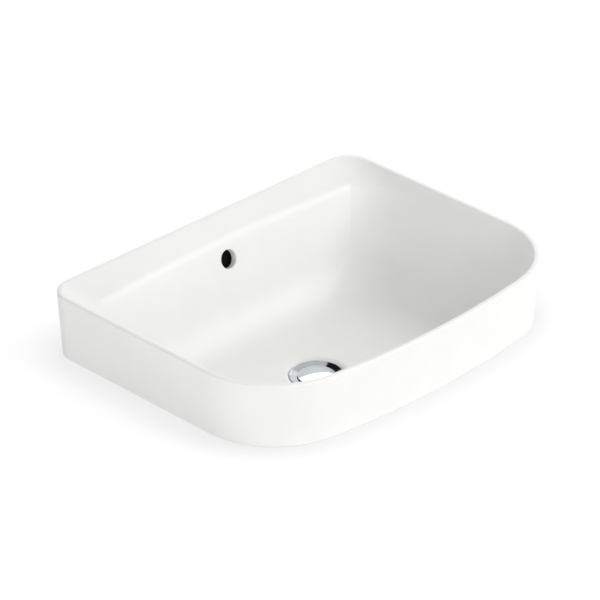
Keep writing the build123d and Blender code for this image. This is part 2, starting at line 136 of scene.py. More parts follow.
# Waste
FLANGE_RADIUS = 34.0
FLANGE_THICKNESS = 2.0
FLANGE_LIP = 1.0
DISH_SLOPE = tan(radians(18.0))
LIP_TOP_RADIUS = FLANGE_RADIUS - FLANGE_LIP
SEAT_DROP = 3.0
TUBE_RADIUS = 20.95
TUBE_BORE = 18.5
TUBE_LENGTH = 88.0
BRIDGE_DROP = 52.0
BRIDGE_HEIGHT = 6.0
BRIDGE_BORE = 4.95
BRIDGE_BOSS_RADIUS = 7.5
SPOKE_LENGTH = 12.5
SPOKE_WIDTH = 4.0
SPOKE_REACH = 12.6

# Segments along the right half of an outline: back, crease, corner, side, front corner, front
OUTLINE_STEPS = (24, 8, 14, 26, 24, 26)
COLUMNS = sum(OUTLINE_STEPS)
DENSE = 4

# Points closer than these are merged: in turned pieces, and along the ceramic's middle
WELD = 1e-4
SEAM_WELD = 1e-3


def linear(code):
    """An sRGB hex colour as linear RGBA."""
    channels = [int(code[i : i + 2], 16) / 255 for i in (1, 3, 5)]
    return [c / 12.92 if c <= 0.04045 else ((c + 0.055) / 1.055) ** 2.4 for c in channels] + [1.0]


def add_node(tree, kind, settings=None, links=None):
    """Adds a shader node. Settings are attributes or input values, and links feed its inputs."""
    made = tree.nodes.new(kind)
    for name, value in (settings or {}).items():
        if isinstance(name, int) or name in made.inputs:
            made.inputs[name].default_value = value
        else:
            setattr(made, name, value)
    for name, source in (links or {}).items():
        tree.links.new(source, made.inputs[name])
    return made


def ease(value):
    """A smooth step from 0 to 1."""
    value = min(1.0, max(0.0, value))
    return value * value * (3 - 2 * value)


def arc_points(centre, radius, start, end, steps):
    """Points after the first along an arc, with angles in degrees."""
    angles = [radians(start + (end - start) * i / steps) for i in range(1, steps + 1)]
    return [(centre[0] + radius * cos(a), centre[1] + radius * sin(a)) for a in angles]


def line_points(start, end, steps):
    """Points after the first along a straight run."""
    return [
        (start[0] + (end[0] - start[0]) * i / steps, start[1] + (end[1] - start[1]) * i / steps)
        for i in range(1, steps + 1)
    ]


def parabola(start, corner, end, share):
    """A point of the parabola that rounds a corner between two ends."""
    return tuple(start * (1 - share) ** 2 + corner * 2 * share * (1 - share) + end * share**2)


def half_outline(side, back, front, back_corner, crease, front_corner, back_bow, fine=1):
    """Right half of a plan outline, from the back's middle round to the front's middle."""
    steps = [n * fine for n in OUTLINE_STEPS]
    front_arc = side / (2 * FRONT_BOW)
    front_centre = front + front_arc
    front_x = side - front_corner
    front_y = front_centre - sqrt((front_arc - front_corner) ** 2 - front_x**2)
    front_angle = degrees(atan2(front_centre - front_y, front_x))
    back_x = side - back_corner
    crease_x = back_x + (back_corner - crease) * cos(radians(CREASE_ANGLE))
    points = [(0.0, back)]
    if back_bow:
        back_arc = side / (2 * back_bow)
        back_centre = back - back_arc
        crease_y = back_centre + sqrt((back_arc - crease) ** 2 - crease_x**2)
        back_angle = degrees(atan2(crease_y - back_centre, crease_x))
        points += arc_points((0, back_centre), back_arc, 90, back_angle, steps[0])
    else:
        crease_y = back - crease
        back_angle = 90
        points += line_points((0, back), (crease_x, back), steps[0])
    back_y = crease_y - (back_corner - crease) * sin(radians(CREASE_ANGLE))
    points += arc_points((crease_x, crease_y), crease, back_angle, CREASE_ANGLE, steps[1])
    points += arc_points((back_x, back_y), back_corner, CREASE_ANGLE, 0, steps[2])
    points += line_points((side, back_y), (side, front_y), steps[3])
    points += arc_points((front_x, front_y), front_corner, 0, -front_angle, steps[4])
    points += arc_points((0, front_centre), front_arc, -front_angle, -90, steps[5])
    return points


def rim_half(inset, fine=1):
    """Right half of the rim's outline, drawn in by inset."""
    corner = BACK_CORNER - inset
    return half_outline(
        HALF_WIDTH - inset,
        BACK_FACE - inset,
        FRONT_FACE + inset,
        corner,
        corner,
        FRONT_CORNER - inset,
        0,
        fine,
    )


def reach(depth, ridge_reach, wall_angle, floor_angle, shell):
    """Distance from the drain axis to the bowl's surface: wall, blend arc, then floor."""
    wall = radians(wall_angle)
    floor = radians(floor_angle)
    blend = FLOOR_BLEND + shell
    wall_offset = ridge_reach * cos(wall) + RIDGE_DEPTH * sin(wall) + shell
    floor_offset = DISH_RADIUS * sin(floor) + FLOOR_DEPTH * cos(floor) + shell
    wall_side = wall_offset - blend
    floor_side = floor_offset - blend
    turn = cos(wall) * cos(floor) - sin(wall) * sin(floor)
    centre_reach = (wall_side * cos(floor) - floor_side * sin(wall)) / turn
    centre_depth = (floor_side * cos(wall) - wall_side * sin(floor)) / turn
    if depth <= centre_depth + blend * sin(wall):
        return (wall_offset - depth * sin(wall)) / cos(wall)
    if depth >= centre_depth + blend * cos(floor):
        return (floor_offset - depth * cos(floor)) / sin(floor)
    return centre_reach + sqrt(blend**2 - (depth - centre_depth) ** 2)


def bowl_half(depth, shell=0.0, fine=1):
    """Right half of the bowl's outline at a depth below the rim, inside or outside the wall."""
    side = reach(depth, HALF_WIDTH - RIDGE_SIDE_INSET, SIDE_WALL_ANGLE, SIDE_FLOOR_ANGLE, shell)
    back = reach(depth, DRAIN_INSET - RIDGE_BACK_INSET, BACK_WALL_ANGLE, BACK_FLOOR_ANGLE, shell)
    front_ridge = BASIN_DEPTH - DRAIN_INSET - RIDGE_SIDE_INSET
    front = reach(depth, front_ridge, FRONT_WALL_ANGLE, FRONT_FLOOR_ANGLE, shell)
    fade = max(0.0, (depth - CORNER_FADE_DEPTH) / (FLOOR_DEPTH + shell - CORNER_FADE_DEPTH))
    fade = min(1.0, fade)
    round_corner = FLOOR_ROUNDNESS * min(side, back, front)
    back_corner = BOWL_BACK_CORNER + shell + (round_corner - BOWL_BACK_CORNER - shell) * fade
    crease = BOWL_CREASE + shell + (round_corner - BOWL_CREASE - shell) * fade**CREASE_FADE
    front_corner = min(BOWL_FRONT_CORNER + shell, round_corner)
    return half_outline(
        side, DRAIN_Y + back, DRAIN_Y - front, back_corner, crease, front_corner, BACK_BOW, fine
    )


def polar(points):
    """Angle round the drain axis from the back, and radius, for each point of a half outline."""
    angles = [atan2(x, y - DRAIN_Y) for x, y in points]
    radii = [sqrt(x**2 + (y - DRAIN_Y) ** 2) for x, y in points]
    angles[-1] = pi
    return angles, radii


def radius_at(curve, angle):
    """The radius of a polar outline at an angle."""
    angles, radii = curve
    place = min(max(bisect_right(angles, angle), 1), len(angles) - 1)
    span = angles[place] - angles[place - 1]
    share = (angle - angles[place - 1]) / span if span > 0 else 0.0
    return radii[place - 1] + (radii[place] - radii[place - 1]) * min(1.0, max(0.0, share))


def plan(angle, radius):
    """A plan point from its angle and radius round the drain axis."""
    return (radius * sin(angle), DRAIN_Y + radius * cos(angle))


even_angles = [pi * i / COLUMNS for i in range(COLUMNS + 1)]


def circle_ring(radius, z):
    """A ring of the ceramic round the drain axis."""
    return [(*plan(angle, radius), z) for angle in even_angles]


def bowl_ring(depth):
    """A ring of the bowl's inside. Near the drain its columns even out and it turns round."""
    evening = ease((depth - EVENING_DEPTH) / EVENING_SPAN)
    rounding = ease((depth - ROUNDING_DEPTH) / (FLOOR_DEPTH - ROUNDING_DEPTH))
    angles = polar(bowl_half(depth))[0]
    dense = polar(bowl_half(depth, 0.0, DENSE))
    mean = sum(dense[1]) / len(dense[1])
    ring = []
    for own, even in zip(angles, even_angles):
        angle = own + (even - own) * evening
        radius = radius_at(dense, angle)
        ring.append((*plan(angle, radius + (mean - radius) * rounding), SKIRT_HEIGHT - depth))
    return ring


def level_ring(points, depth):
    """A ring of the ceramic at one depth below the rim."""
    return [(x, y, SKIRT_HEIGHT - depth) for x, y in points]


def skirt_inside(depth):
    """Polar outline of the skirt's inner face."""
    inset = depth * DRAFT_SLOPE + BEARING_LAND
    return polar(rim_half(inset, DENSE))


def shell_radius(depth, angle):
    """Distance from the drain axis to the bowl's underside, or to its fade up to the rim."""
    radius = radius_at(polar(bowl_half(max(depth, SHELL_TOP_DEPTH), WALL, 2)), angle)
    if depth < SHELL_TOP_DEPTH:
        rim_radius = radius_at(polar(rim_half(SHELL_RIM_INSET, 2)), angle)
        fade = (radius - rim_radius) * (depth - SHELL_FADE_DEPTH) / SHELL_FADE_SPAN
        radius = rim_radius + fade
    return radius


def add_object(name, data):
    """A new object in the scene."""
    made = bpy.data.objects.new(name, data)
    bpy.context.scene.collection.objects.link(made)
    return made


def make_object(name, bm):
    """Turns a bmesh in millimetres into an object in metres at the origin."""
    bmesh.ops.transform(bm, matrix=Matrix.Scale(MM, 4), verts=bm.verts)
    mesh = bpy.data.meshes.new(name)
    bm.to_mesh(mesh)
    bm.free()
    return add_object(name, mesh)


def shade(piece, sharp=35.0):
    """Smooth shading, with edges past an angle left crisp."""
    piece.data.shade_smooth()
    piece.data.set_sharp_from_angle(angle=radians(sharp))
    weighted = piece.modifiers.new("even_normals", "WEIGHTED_NORMAL")
    weighted.keep_sharp = True
    return piece


def boolean(piece, other, operation):
    """Joins or cuts a piece with another object, which is then removed."""
    step = piece.modifiers.new("cut", "BOOLEAN")
    step.operation = operation
    step.solver = "EXACT"
    step.object = other
    graph = bpy.context.evaluated_depsgraph_get()
    mesh = bpy.data.meshes.new_from_object(piece.evaluated_get(graph))
    piece.modifiers.clear()
    piece.data = mesh
    bpy.data.objects.remove(other)


def rounded(points, rounds, steps=5):
    """A closed profile with some corners rounded. Rounds gives each corner's radius."""
    made = []
    for i, corner in enumerate(points):
        here = Vector(corner)
        before = Vector(points[i - 1]) - here
        after = Vector(points[(i + 1) % len(points)]) - here
        radius = rounds.get(i, 0)
        if not radius:
            made.append(tuple(here))
            continue
        half = before.angle(after) / 2
        run = radius / tan(half)
        start = here + before.normalized() * run
        end = here + after.normalized() * run
        made += [parabola(start, here, end, j / steps) for j in range(steps + 1)]
    return made


def round_edges(bm, edges, offset, segments, **options):
    """Bevels edges to a round that keeps the material of its faces."""
    bmesh.ops.bevel(
        bm,
        geom=edges,
        offset=offset,
        segments=segments,
        profile=0.5,
        affect="EDGES",
        material=-1,
        **options,
    )


def revolve(bm, centre_y, steps):
    """Turns everything in a bmesh once round an upright axis."""
    bmesh.ops.spin(
        bm,
        geom=bm.verts[:] + bm.edges[:],
        cent=(0, centre_y, 0),
        axis=(0, 0, 1),
        angle=2 * pi,
        steps=steps,
        use_merge=True,
    )
    bmesh.ops.remove_doubles(bm, verts=bm.verts, dist=WELD)
    bmesh.ops.recalc_face_normals(bm, faces=bm.faces)


def wind(bm, geom, rise, steps, turn_steps, sides):
    """Winds an outline with so many sides round the drain axis, and closes both ends."""
    bmesh.ops.spin(
        bm,
        geom=geom,
        cent=(0, DRAIN_Y, 0),
        axis=(0, 0, 1),
        dvec=(0, 0, rise),
        angle=2 * pi * steps / turn_steps,
        steps=steps,
        use_merge=False,
    )
    bmesh.ops.remove_doubles(bm, verts=bm.verts, dist=WELD)
    bmesh.ops.holes_fill(bm, edges=[e for e in bm.edges if e.is_boundary], sides=sides)


def turned(name, profile, steps=128):
    """A piece turned about the drain axis from a closed profile of radii and drops from the lip."""
    bm = bmesh.new()
    verts = [bm.verts.new((radius, DRAIN_Y, LIP_Z - drop)) for radius, drop in profile]
    edges = [bm.edges.new((verts[i - 1], verts[i])) for i in range(len(verts))]
    on_axis = [e for e in edges if all(abs(v.co.x) < 1e-6 for v in e.verts)]
    bmesh.ops.delete(bm, geom=on_axis, context="EDGES")
    revolve(bm, DRAIN_Y, steps)
    return make_object(name, bm)


def dish_drop(radius):
    """Drop of the flange's dished face below its lip."""
    return (LIP_TOP_RADIUS - radius) * DISH_SLOPE


# Rings of the ceramic, in order: skirt, rim, band, bowl, seat, boss, underside, skirt's inside
rings = []
bevels = {}


def add_ring(points, bevel=None):
    """Adds a ring of the ceramic, and the radius that its edge is rounded to, if any."""
    if bevel:
        bevels[len(rings)] = bevel
    rings.append(points)


SKIRT_LEVELS = 9
BAND_LEVELS = 4
ROUND_LEVELS = 10
BOWL_LEVELS = 48
FIRST_BOWL_LEVEL = 3
SHELL_LEVELS = 34
INSIDE_LEVELS = 6

for level in range(SKIRT_LEVELS + 1):
    rise = level / SKIRT_LEVELS
    points = rim_half(DRAFT_INSET * (1 - rise))
    bevel = {0: LAND_CHAMFER, SKIRT_LEVELS: RIM_OUTER_ROUND}.get(level)
    add_ring(level_ring(points, SKIRT_HEIGHT * (1 - rise)), bevel)

# The band is ruled from the rim to the ridge, which a parabola rounds over
rim_angles = polar(rim_half(RIM_WIDTH))[0]
ridge_angles = polar(bowl_half(RIDGE_DEPTH))[0]
rim_curve = polar(rim_half(RIM_WIDTH, DENSE))
ridge_curve = polar(bowl_half(RIDGE_DEPTH, 0.0, DENSE))


def band_point(column, share):
    """A point of a column of the band, part of the way from the rim to the ridge."""
    angle = rim_angles[column] + (ridge_angles[column] - rim_angles[column]) * share
    radius = radius_at(rim_curve, angle)
    radius += (radius_at(ridge_curve, angle) - radius) * share
    return Vector((*plan(angle, radius), SKIRT_HEIGHT - RIDGE_DEPTH * share))


round_low = bowl_ring(RIDGE_DEPTH + RIDGE_ROUND * cos(radians(BACK_WALL_ANGLE)))
crests = [band_point(column, 1.0) for column in range(COLUMNS + 1)]
band_ends = []
for column, crest in enumerate(crests):
    run = (Vector(round_low[column]) - crest).length
    band_ends.append(1 - run / (band_point(column, 0.0) - crest).length)
for level in range(BAND_LEVELS + 1):
    share = level / BAND_LEVELS
    points = [tuple(band_point(column, end * share)) for column, end in enumerate(band_ends)]
    add_ring(points, RIM_INNER_ROUND if level == 0 else None)
for level in range(1, ROUND_LEVELS + 1):
    share = level / ROUND_LEVELS
    ring = []
    for column, crest in enumerate(crests):
        start = band_point(column, band_ends[column])
        low_end = Vector(round_low[column])
        ring.append(parabola(start, crest, low_end, share))
    add_ring(ring)
# Levels above the first would lie in the round. The ring before last is left out, because it
# lies too close to the edge that is rounded next
DISH_EDGE_ROUND = 1.4
for level in (*range(FIRST_BOWL_LEVEL, BOWL_LEVELS - 1), BOWL_LEVELS):
    sink = sin(pi / 2 * level / BOWL_LEVELS)
    add_ring(bowl_ring(RIDGE_DEPTH + (FLOOR_DEPTH - RIDGE_DEPTH) * sink))
bevels[len(rings) - 1] = DISH_EDGE_ROUND
SEAT_GAP = 1.0
SEAT_FLARE = 0.6
seat_outer = FLANGE_RADIUS + SEAT_GAP
seat_low = LIP_Z - dish_drop(seat_outer) - SEAT_DROP
hole_high = LIP_Z - dish_drop(WASTE_HOLE_RADIUS) - SEAT_DROP
add_ring(circle_ring(seat_outer + SEAT_FLARE, LIP_Z - FLANGE_LIP), bevel=0.4)
add_ring(circle_ring(seat_outer, seat_low))
add_ring(circle_ring(WASTE_HOLE_RADIUS, hole_high), bevel=0.6)
add_ring(circle_ring(WASTE_HOLE_RADIUS, LIP_Z - BOSS_DROP), bevel=0.6)
add_ring(circle_ring(BOSS_RADIUS, LIP_Z - BOSS_DROP), bevel=2.0)

# The underside's columns follow the shell's own angles and meet the skirt where the two cross
shell_angles = polar(bowl_half(SHELL_ANGLES_DEPTH, WALL))[0]
crossing = []
for angle in shell_angles:
    low, high = CROSSING_RANGE
    for _ in range(CROSSING_STEPS):
        middle = (low + high) / 2
        if shell_radius(middle, angle) > radius_at(skirt_inside(middle), angle):
            low = middle
        else:
            high = middle
    crossing.append(high)
shell_floor = FLOOR_DEPTH + WALL - SHELL_FLOOR_TRIM
for level in range(SHELL_LEVELS + 1):
    sink = cos(pi / 2 * level / SHELL_LEVELS)
    ring = []
    for own, even, top in zip(shell_angles, even_angles, crossing):
        depth = top + (shell_floor - top) * sink
        evening = ease((depth - SHELL_EVENING_DEPTH) / SHELL_EVENING_SPAN)
        angle = own + (even - own) * evening
        radius = BOSS_RADIUS
        if level:
            radius = max(shell_radius(depth, angle), BOSS_RADIUS + SHELL_BOSS_GAP)
        ring.append((*plan(angle, radius), SKIRT_HEIGHT - depth))
    add_ring(ring)
for level in range(1, INSIDE_LEVELS + 1):
    share = level / INSIDE_LEVELS
    ring = []
    for angle, top in zip(shell_angles, crossing):
        depth = top + (SKIRT_HEIGHT - top) * share
        ring.append((*plan(angle, radius_at(skirt_inside(depth), angle)), SKIRT_HEIGHT - depth))
    add_ring(ring)
bevels[len(rings) - 1] = LAND_CHAMFER
add_ring(rings[0])

bm = bmesh.new()
bmesh.ops.create_grid(bm, x_segments=COLUMNS, y_segments=len(rings) - 1, size=0.5)
ring_tag = bm.verts.layers.int.new("ring")
for vert in bm.verts:
    column = round((vert.co.x + 0.5) * COLUMNS)
    row = round((vert.co.y + 0.5) * (len(rings) - 1))
    vert[ring_tag] = row
    vert.co = rings[row][column]
    if column in (0, COLUMNS):
        vert.co.x = 0.0
half = bm.verts[:] + bm.edges[:] + bm.faces[:]
bmesh.ops.mirror(bm, geom=half, merge_dist=SEAM_WELD, axis="X")
bmesh.ops.remove_doubles(bm, verts=bm.verts, dist=SEAM_WELD)
for vert in bm.verts:
    if vert[ring_tag] == len(rings) - 1:
        vert[ring_tag] = 0
# The mirrored half is wound the other way, which a bevel across the middle can't take
bmesh.ops.recalc_face_normals(bm, faces=bm.faces)
bevel_edges = {}
for edge in bm.edges:
    tags = {vert[ring_tag] for vert in edge.verts}
    if len(tags) == 1 and min(tags) in bevels:
        bevel_edges.setdefault(min(tags), []).append(edge)
for tag, edges in bevel_edges.items():
    segments = 5 if bevels[tag] > 1 else 2
    round_edges(bm, edges, bevels[tag], segments, clamp_overlap=True)
bmesh.ops.recalc_face_normals(bm, faces=bm.faces)
basin = make_object("basin_ceramic", bm)
# Material slots of the ceramic: glaze, ground foot, inside of the duct in painted shade
CERAMIC_SLOTS = 3
DUCT_SLOT = 2
for _ in range(CERAMIC_SLOTS):
    basin.data.materials.append(None)


def wall_point(offset, depth):
    """A point behind the back wall, offset out from its outer face, as seen from the side."""
    wall = radians(BACK_WALL_ANGLE)
    ridge_y = DRAIN_Y + DRAIN_INSET - RIDGE_BACK_INSET
    y = ridge_y - (depth - RIDGE_DEPTH) * tan(wall) + (WALL + offset) / cos(wall)
    return (y, SKIRT_HEIGHT - depth)


def floor_point(offset, y):
    """A point under the floor, offset down from its outer face, as seen from the side."""
    floor = radians(BACK_FLOOR_ANGLE)
    depth = FLOOR_DEPTH - (y - DRAIN_Y - DISH_RADIUS) * tan(floor) + (WALL + offset) / cos(floor)
    return (y, SKIRT_HEIGHT - depth)


def duct_corner(offset):
    """Where the duct's wall run and floor run meet."""
    wall = tan(radians(BACK_WALL_ANGLE))
    floor = tan(radians(BACK_FLOOR_ANGLE))
    wall_y, wall_z = wall_point(offset, FLOOR_DEPTH)
    floor_z = floor_point(offset, wall_y)[1]
    shift = (floor_z - wall_z) / (1 / wall - floor)
    return (wall_y + shift, wall_z + shift / wall)


def duct_solid(name, half_width, inner, outer, top_depth, end_y, edge_round, slot=0):
    """The duct's block between two offsets from the bowl, with its outer long edges rounded."""
    blend = FLOOR_BLEND + WALL
    corners = [
        wall_point(inner, top_depth),
        wall_point(outer, top_depth),
        duct_corner(outer),
        floor_point(outer, end_y),
        floor_point(inner, end_y),
        duct_corner(inner),
    ]
    side_view = rounded(corners, {2: blend + outer, 5: blend + inner}, DUCT_BLEND_STEPS)
    bm = bmesh.new()
    verts = [bm.verts.new((-half_width, y, z)) for y, z in side_view]
    face = bm.faces.new(verts)
    grown = bmesh.ops.extrude_face_region(bm, geom=[face])["geom"]
    moved = [v for v in grown if isinstance(v, bmesh.types.BMVert)]
    bmesh.ops.translate(bm, vec=(2 * half_width, 0, 0), verts=moved)
    bmesh.ops.recalc_face_normals(bm, faces=bm.faces)
    # The outer run is the second to the fourth corner of the side view
    outer_run = side_view[1 : DUCT_BLEND_STEPS + 4]
    outer_set = {(round(y, 3), round(z, 3)) for y, z in outer_run}
    long_edges = [
        e
        for e in bm.edges
        if abs(e.verts[0].co.x - e.verts[1].co.x) < 1e-6
        and all((round(v.co.y, 3), round(v.co.z, 3)) in outer_set for v in e.verts)
    ]
    round_edges(bm, long_edges, edge_round, 4)
    for face in bm.faces:
        face.material_index = slot
    made = make_object(name, bm)
    for _ in range(CERAMIC_SLOTS):
        made.data.materials.append(None)
    return made


boolean(
    basin,
    duct_solid(
        "duct_outside",
        half_width=DUCT_HALF_WIDTH + DUCT_WALL,
        inner=-DUCT_EMBED,
        outer=DUCT_GAP + DUCT_WALL,
        top_depth=DUCT_TOP_DEPTH - DUCT_WALL,
        end_y=DRAIN_Y + BOSS_RADIUS - DUCT_EMBED,
        edge_round=6.0,
    ),
    "UNION",
)
boolean(
    basin,
    duct_solid(
        "duct_inside",
        half_width=DUCT_HALF_WIDTH,
        inner=0.0,
        outer=DUCT_GAP,
        top_depth=DUCT_TOP_DEPTH,
        end_y=DRAIN_Y + WASTE_HOLE_RADIUS - DUCT_MOUTH_REACH,
        edge_round=3.0,
        slot=DUCT_SLOT,
    ),
    "DIFFERENCE",
)

# Overflow hole: a round cutter square to the wall, flared where the glaze rounds the edge
CUTTER_RISE = 3.0
cutter_foot = -WALL - DUCT_GAP / 2
cutter_profile = [(0.0, cutter_foot), (OVERFLOW_RADIUS, cutter_foot)]
for angle in range(0, 81, 10):
    flare = OVERFLOW_EDGE * (1 - cos(radians(angle)))
    height = OVERFLOW_EDGE * (sin(radians(angle)) - 1)
    cutter_profile.append((OVERFLOW_RADIUS + flare, height))
cutter_profile += [(OVERFLOW_RADIUS + flare, CUTTER_RISE), (0.0, CUTTER_RISE)]
bm = bmesh.new()
verts = [bm.verts.new((radius, 0, height)) for radius, height in cutter_profile]
for i in range(len(verts) - 1):
    bm.edges.new((verts[i], verts[i + 1]))
revolve(bm, 0, 96)
hole_y = wall_point(-WALL, OVERFLOW_DEPTH)[0]
tilt = Matrix.Rotation(radians(90 - BACK_WALL_ANGLE), 4, "X")
move = Matrix.Translation((0, hole_y, SKIRT_HEIGHT - OVERFLOW_DEPTH))
bmesh.ops.transform(bm, matrix=move @ tilt, verts=bm.verts)
boolean(basin, make_object("overflow_cutter", bm), "DIFFERENCE")
shade(basin, 38)

# Waste: dished chrome flange with a rounded lip, and its tube down to the thread's root
THREAD_ROOT = 19.7
THREAD_PITCH = 2.309
THREAD_TOP = 22.0
THREAD_TOP_SLOPE = 1.2
waste_profile = rounded(
    [
        (TUBE_BORE, dish_drop(TUBE_BORE)),
        (LIP_TOP_RADIUS, 0.0),
        (FLANGE_RADIUS, FLANGE_LIP),
        (FLANGE_RADIUS, dish_drop(FLANGE_RADIUS) + FLANGE_THICKNESS),
        (TUBE_RADIUS, dish_drop(TUBE_RADIUS) + FLANGE_THICKNESS),
        (TUBE_RADIUS, THREAD_TOP),
        (THREAD_ROOT, THREAD_TOP + THREAD_TOP_SLOPE),
        (THREAD_ROOT, TUBE_LENGTH),
        (TUBE_BORE, TUBE_LENGTH),
    ],
    {0: 0.7, 1: 0.5, 2: 0.4, 3: 0.3, 7: 0.3, 8: 0.3},
)
waste = turned("waste_flange_and_tube", waste_profile, 160)
SLOT_DROP = 16.0
SLOT_WIDTH = 20.0
SLOT_HEIGHT = 10.0
SLOT_ROUND = 4.5
bm = bmesh.new()
bmesh.ops.create_cube(bm, size=1.0)
bmesh.ops.scale(bm, vec=(SLOT_WIDTH, 2 * FLANGE_RADIUS, SLOT_HEIGHT), verts=bm.verts)
long_edges = [e for e in bm.edges if abs(e.verts[0].co.y - e.verts[1].co.y) > 1]
round_edges(bm, long_edges, SLOT_ROUND, 8)
bmesh.ops.translate(bm, vec=(0, DRAIN_Y, LIP_Z - SLOT_DROP), verts=bm.verts)
boolean(waste, make_object("slot_cutter", bm), "DIFFERENCE")
shade(waste)

# Bridge: three spokes and a threaded boss inside the tube
bm = bmesh.new()
for spoke in range(3):
    made = bmesh.ops.create_cube(bm, size=1.0)["verts"]
    bmesh.ops.scale(bm, vec=(SPOKE_LENGTH, SPOKE_WIDTH, BRIDGE_HEIGHT), verts=made)
    bmesh.ops.translate(bm, vec=(SPOKE_REACH, 0, 0), verts=made)
    turn = Matrix.Rotation(radians(90 + 120 * spoke), 4, "Z")
    bmesh.ops.transform(bm, matrix=turn, verts=made)
round_edges(bm, bm.edges[:], 0.5, 2)
bridge_z = LIP_Z - BRIDGE_DROP - BRIDGE_HEIGHT / 2
bmesh.ops.translate(bm, vec=(0, DRAIN_Y, bridge_z), verts=bm.verts)
spokes = shade(make_object("waste_bridge_spokes", bm))
bridge_boss = shade(
    turned(
        "waste_bridge_boss",
        rounded(
            [
                (BRIDGE_BORE, BRIDGE_DROP),
                (BRIDGE_BOSS_RADIUS, BRIDGE_DROP),
                (BRIDGE_BOSS_RADIUS, BRIDGE_DROP + BRIDGE_HEIGHT),
                (BRIDGE_BORE, BRIDGE_DROP + BRIDGE_HEIGHT),
            ],
            {1: 0.4, 2: 0.4},
        ),
        64,
    )
)

# Thread: a helical ridge on the tube that runs out into it at both ends
THREAD_STEPS = 64
THREAD_ENDS = 5.0
THREAD_START = 2.2
THREAD_SINK = 0.3
FOOT_HALF = 0.95
CREST_HALF = 0.22
RUN_OUT_LEAD = 0.3
RUN_OUT_SINK = 0.2
thread_turns = (TUBE_LENGTH - THREAD_TOP - THREAD_ENDS) / THREAD_PITCH
bm = bmesh.new()
ridge_profile = [
    (THREAD_ROOT - THREAD_SINK, FOOT_HALF),
    (TUBE_RADIUS, CREST_HALF),
    (TUBE_RADIUS, -CREST_HALF),
    (THREAD_ROOT - THREAD_SINK, -FOOT_HALF),
]
start_z = LIP_Z - THREAD_TOP - THREAD_START
verts = [bm.verts.new((radius, DRAIN_Y, start_z + height)) for radius, height in ridge_profile]
edges = [bm.edges.new((verts[i - 1], verts[i])) for i in range(4)]
bm.faces.new(verts)
steps = int(thread_turns * THREAD_STEPS)
wind(bm, verts + edges, -THREAD_PITCH / THREAD_STEPS, steps, THREAD_STEPS, 4)
end_z = start_z - THREAD_PITCH * steps / THREAD_STEPS
for vert in bm.verts:
    radius = sqrt(vert.co.x**2 + (vert.co.y - DRAIN_Y) ** 2)
    from_end = min(start_z + RUN_OUT_LEAD - vert.co.z, vert.co.z - end_z + RUN_OUT_LEAD)
    run_out = from_end / (THREAD_PITCH / 2)
    if radius > THREAD_ROOT and run_out < 1:
        rise = (TUBE_RADIUS - THREAD_ROOT + RUN_OUT_SINK) * ease(run_out)
        wanted = THREAD_ROOT - RUN_OUT_SINK + rise
        vert.co.x *= wanted / radius
        vert.co.y = DRAIN_Y + (vert.co.y - DRAIN_Y) * wanted / radius
bmesh.ops.recalc_face_normals(bm, faces=bm.faces)
thread = shade(make_object("waste_thread", bm), 25)

# Plug: shallow chrome dome with a rounded edge over a conical seat and a grooved neck
PLUG_RADIUS = 23.6
PLUG_DOME = 2.3
PLUG_LIFT = 1.0
EDGE_HEIGHT = 0.45
EDGE_ROUND = 0.5
NECK_RADIUS = 17.6
NECK_BORE = 13.6
NECK_LENGTH = 6.0
STUD_RADIUS = 6.0
STUD_DROP = 14.0
RING_DROP = 3.0
RING_GAP = 0.3
RING_WIRE = 1.3
GROOVE_HALF = 1.4
DOME_STEPS = 24
plug_edge = dish_drop(PLUG_RADIUS) - PLUG_LIFT
plug_rim = plug_edge - EDGE_HEIGHT
neck = dish_drop(NECK_RADIUS) - PLUG_LIFT
ring_drop = neck + RING_DROP
ring_radius = TUBE_BORE - RING_GAP - RING_WIRE
dome_radius = (PLUG_RADIUS**2 + PLUG_DOME**2) / (2 * PLUG_DOME)
dome_reach = PLUG_RADIUS - EDGE_ROUND
dome = []
for i in range(DOME_STEPS + 1):
    radius = dome_reach * i / DOME_STEPS
    sag = dome_radius - sqrt(dome_radius**2 - radius**2)
    dome.append((radius, plug_rim - PLUG_DOME + sag))
plug_profile = dome + [
    (PLUG_RADIUS - 0.15, plug_rim + 0.02),
    (PLUG_RADIUS, plug_rim + 0.22),
    (PLUG_RADIUS, plug_edge - 0.05),
    (NECK_RADIUS, neck),
    (NECK_RADIUS, ring_drop - GROOVE_HALF),
    (ring_radius - RING_WIRE, ring_drop - GROOVE_HALF),
    (ring_radius - RING_WIRE, ring_drop + GROOVE_HALF),
    (NECK_RADIUS, ring_drop + GROOVE_HALF),
    (NECK_RADIUS, neck + NECK_LENGTH),
    (NECK_BORE, neck + NECK_LENGTH),
    (NECK_BORE, neck),
    (STUD_RADIUS, neck),
    (STUD_RADIUS, STUD_DROP),
    (0.0, STUD_DROP),
]
plug = shade(turned("plug_dome", plug_profile, 160), 30)

